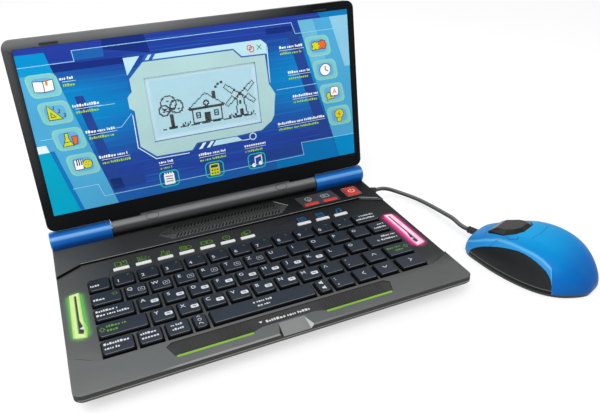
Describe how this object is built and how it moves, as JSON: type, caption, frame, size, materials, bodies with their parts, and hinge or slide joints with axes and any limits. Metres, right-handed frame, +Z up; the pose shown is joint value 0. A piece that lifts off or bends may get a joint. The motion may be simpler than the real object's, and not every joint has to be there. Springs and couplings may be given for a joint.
{
  "type": "toy laptop computer",
  "caption": "Toy laptop computer: folding lid with a printed screen panel and small display, keyboard with press keys, and a mouse on a cable.",
  "frame": {"origin": "centre of the base's plan rectangle, on the plane it rests on", "axes": "+X to the user's right along the hinge, +Y from the user to the hinge, +Z up; the lid stands open in the rest pose"},
  "size_m": [0.3949, 0.2484, 0.1867],
  "materials": {
    "deck_plastic": "satin charcoal",
    "bottom_plastic": "fine grain",
    "grille_plastic": "matt",
    "panel_plastic": "ribbed gloss",
    "lime_plastic": "translucent",
    "lime_light": "light pipe",
    "pink_light": "light pipe",
    "blue_plastic": "satin gloss",
    "steel": "plain",
    "circuit_board": "solder mask",
    "membrane_rubber": "matt",
    "speaker_paper": "paper cone and steel frame",
    "cell_jacket": "printed jacket",
    "contact_metal": "spring steel",
    "foot_rubber": "matt",
    "cable_rubber": "smooth",
    "key_plastic": "satin",
    "white_rubber": "satin",
    "red_rubber": "satin",
    "lid_plastic": "gloss",
    "lid_back_plastic": "fine grain",
    "screen_print": "printed sheet",
    "clear_window": "clear",
    "display_glass": "reflective display",
    "bar_plastic": "satin",
    "ribbon": "flat flex",
    "mouse_blue": "gloss",
    "mouse_dark": "satin",
    "mouse_black": "gloss",
    "lens_clear": "clear"
  },
  "bodies": {
    "base": {"base_bottom_case": "bottom_plastic", "base_top_case": "deck_plastic", "speaker_grille": "grille_plastic", "front_panel": "panel_plastic", "accent_strips": "lime_plastic", "light_pipe_left": "lime_light", "light_pipe_right": "pink_light", "hinge_covers": "blue_plastic", "hinge_pins": "steel", "keypad_board": "circuit_board", "key_membrane": "membrane_rubber", "main_board": "circuit_board", "led_boards": "circuit_board", "speaker": "speaker_paper", "batteries": "cell_jacket", "battery_contacts": "contact_metal", "battery_door": "bottom_plastic", "battery_door_screw": "steel", "rubber_feet": "foot_rubber", "case_screws": "steel", "cable_grommet": "cable_rubber", "mouse_cable": "cable_rubber"},
    "lid": {"lid_front_bezel": "lid_plastic", "lid_rear_cover": "lid_back_plastic", "lid_screws": "steel", "screen_panel": "screen_print", "lcd_window": "clear_window", "lcd_display": "display_glass", "lcd_board": "circuit_board", "lid_hinge_bar": "bar_plastic", "ribbon_cable": "ribbon", "lid_bumpers": "foot_rubber"},
    "mouse": {"mouse_top_shell": "mouse_blue", "mouse_side_grips": "mouse_dark", "mouse_base": "mouse_black", "mouse_feet": "foot_rubber", "mouse_screws": "steel", "mouse_board": "circuit_board", "mouse_lens": "lens_clear", "cable_boot": "cable_rubber"},
    "mouse_button": {"mouse_button": "mouse_black"},
    "esc_key": {"esc_key": "key_plastic"},
    "number_keys": {"number_keys": "key_plastic"},
    "erase_keys": {"erase_keys": "key_plastic"},
    "level_key": {"level_key": "key_plastic"},
    "top_row_keys": {"top_row_keys": "key_plastic"},
    "favourites_key": {"favourites_key": "key_plastic"},
    "home_row_keys": {"home_row_keys": "key_plastic"},
    "enter_key": {"enter_key": "key_plastic"},
    "left_shift_key": {"left_shift_key": "key_plastic"},
    "bottom_row_keys": {"bottom_row_keys": "key_plastic"},
    "right_shift_key": {"right_shift_key": "key_plastic"},
    "repeat_key": {"repeat_key": "key_plastic"},
    "lower_row_keys": {"lower_row_keys": "key_plastic"},
    "space_key": {"space_key": "key_plastic"},
    "arrow_keys": {"arrow_keys": "key_plastic"},
    "shortcut_buttons": {"shortcut_buttons": "white_rubber"},
    "red_button_left": {"red_button_left": "red_rubber"},
    "red_button_right": {"red_button_right": "red_rubber"},
    "power_button": {"power_button": "red_rubber"}
  },
  "joints": [
    {"name": "lid_hinge", "type": "hinge", "parent": "base", "child": "lid", "pos_m": [0, 0.086, 0.0256], "axis": [1, 0, 0], "range_deg": [-25, 97.8]},
    {"name": "mouse_slide", "type": "slide", "parent": "base", "child": "mouse", "axis": [-0.3584, 0.9336, 0], "range_m": [-0.02, 0.015], "deforming": ["mouse_cable"]},
    {"name": "mouse_button_press", "type": "slide", "parent": "mouse", "child": "mouse_button", "axis": [0.1107, -0.2885, -0.9511], "range_m": [0, 0.001], "stiffness_N_per_m": 400},
    {"name": "esc_key_press", "type": "slide", "parent": "base", "child": "esc_key", "axis": [0, 0, -1], "range_m": [0, 0.002], "stiffness_N_per_m": 400},
    {"name": "number_keys_press", "type": "slide", "parent": "base", "child": "number_keys", "axis": [0, 0, -1], "range_m": [0, 0.002], "stiffness_N_per_m": 400},
    {"name": "erase_keys_press", "type": "slide", "parent": "base", "child": "erase_keys", "axis": [0, 0, -1], "range_m": [0, 0.002], "stiffness_N_per_m": 400},
    {"name": "level_key_press", "type": "slide", "parent": "base", "child": "level_key", "axis": [0, 0, -1], "range_m": [0, 0.002], "stiffness_N_per_m": 400},
    {"name": "top_row_keys_press", "type": "slide", "parent": "base", "child": "top_row_keys", "axis": [0, 0, -1], "range_m": [0, 0.002], "stiffness_N_per_m": 400},
    {"name": "favourites_key_press", "type": "slide", "parent": "base", "child": "favourites_key", "axis": [0, 0, -1], "range_m": [0, 0.002], "stiffness_N_per_m": 400},
    {"name": "home_row_keys_press", "type": "slide", "parent": "base", "child": "home_row_keys", "axis": [0, 0, -1], "range_m": [0, 0.002], "stiffness_N_per_m": 400},
    {"name": "enter_key_press", "type": "slide", "parent": "base", "child": "enter_key", "axis": [0, 0, -1], "range_m": [0, 0.002], "stiffness_N_per_m": 400},
    {"name": "left_shift_key_press", "type": "slide", "parent": "base", "child": "left_shift_key", "axis": [0, 0, -1], "range_m": [0, 0.002], "stiffness_N_per_m": 400},
    {"name": "bottom_row_keys_press", "type": "slide", "parent": "base", "child": "bottom_row_keys", "axis": [0, 0, -1], "range_m": [0, 0.002], "stiffness_N_per_m": 400},
    {"name": "right_shift_key_press", "type": "slide", "parent": "base", "child": "right_shift_key", "axis": [0, 0, -1], "range_m": [0, 0.002], "stiffness_N_per_m": 400},
    {"name": "repeat_key_press", "type": "slide", "parent": "base", "child": "repeat_key", "axis": [0, 0, -1], "range_m": [0, 0.002], "stiffness_N_per_m": 400},
    {"name": "lower_row_keys_press", "type": "slide", "parent": "base", "child": "lower_row_keys", "axis": [0, 0, -1], "range_m": [0, 0.002], "stiffness_N_per_m": 400},
    {"name": "space_key_press", "type": "slide", "parent": "base", "child": "space_key", "axis": [0, 0, -1], "range_m": [0, 0.002], "stiffness_N_per_m": 400},
    {"name": "arrow_keys_press", "type": "slide", "parent": "base", "child": "arrow_keys", "axis": [0, 0, -1], "range_m": [0, 0.002], "stiffness_N_per_m": 400},
    {"name": "shortcut_buttons_press", "type": "slide", "parent": "base", "child": "shortcut_buttons", "axis": [0, 0, -1], "range_m": [0, 0.0009], "stiffness_N_per_m": 600},
    {"name": "red_button_left_press", "type": "slide", "parent": "base", "child": "red_button_left", "axis": [0, 0, -1], "range_m": [0, 0.0008], "stiffness_N_per_m": 600},
    {"name": "red_button_right_press", "type": "slide", "parent": "base", "child": "red_button_right", "axis": [0, 0, -1], "range_m": [0, 0.0008], "stiffness_N_per_m": 600},
    {"name": "power_button_press", "type": "slide", "parent": "base", "child": "power_button", "axis": [0, 0, -1], "range_m": [0, 0.0008], "stiffness_N_per_m": 600}
  ]
}
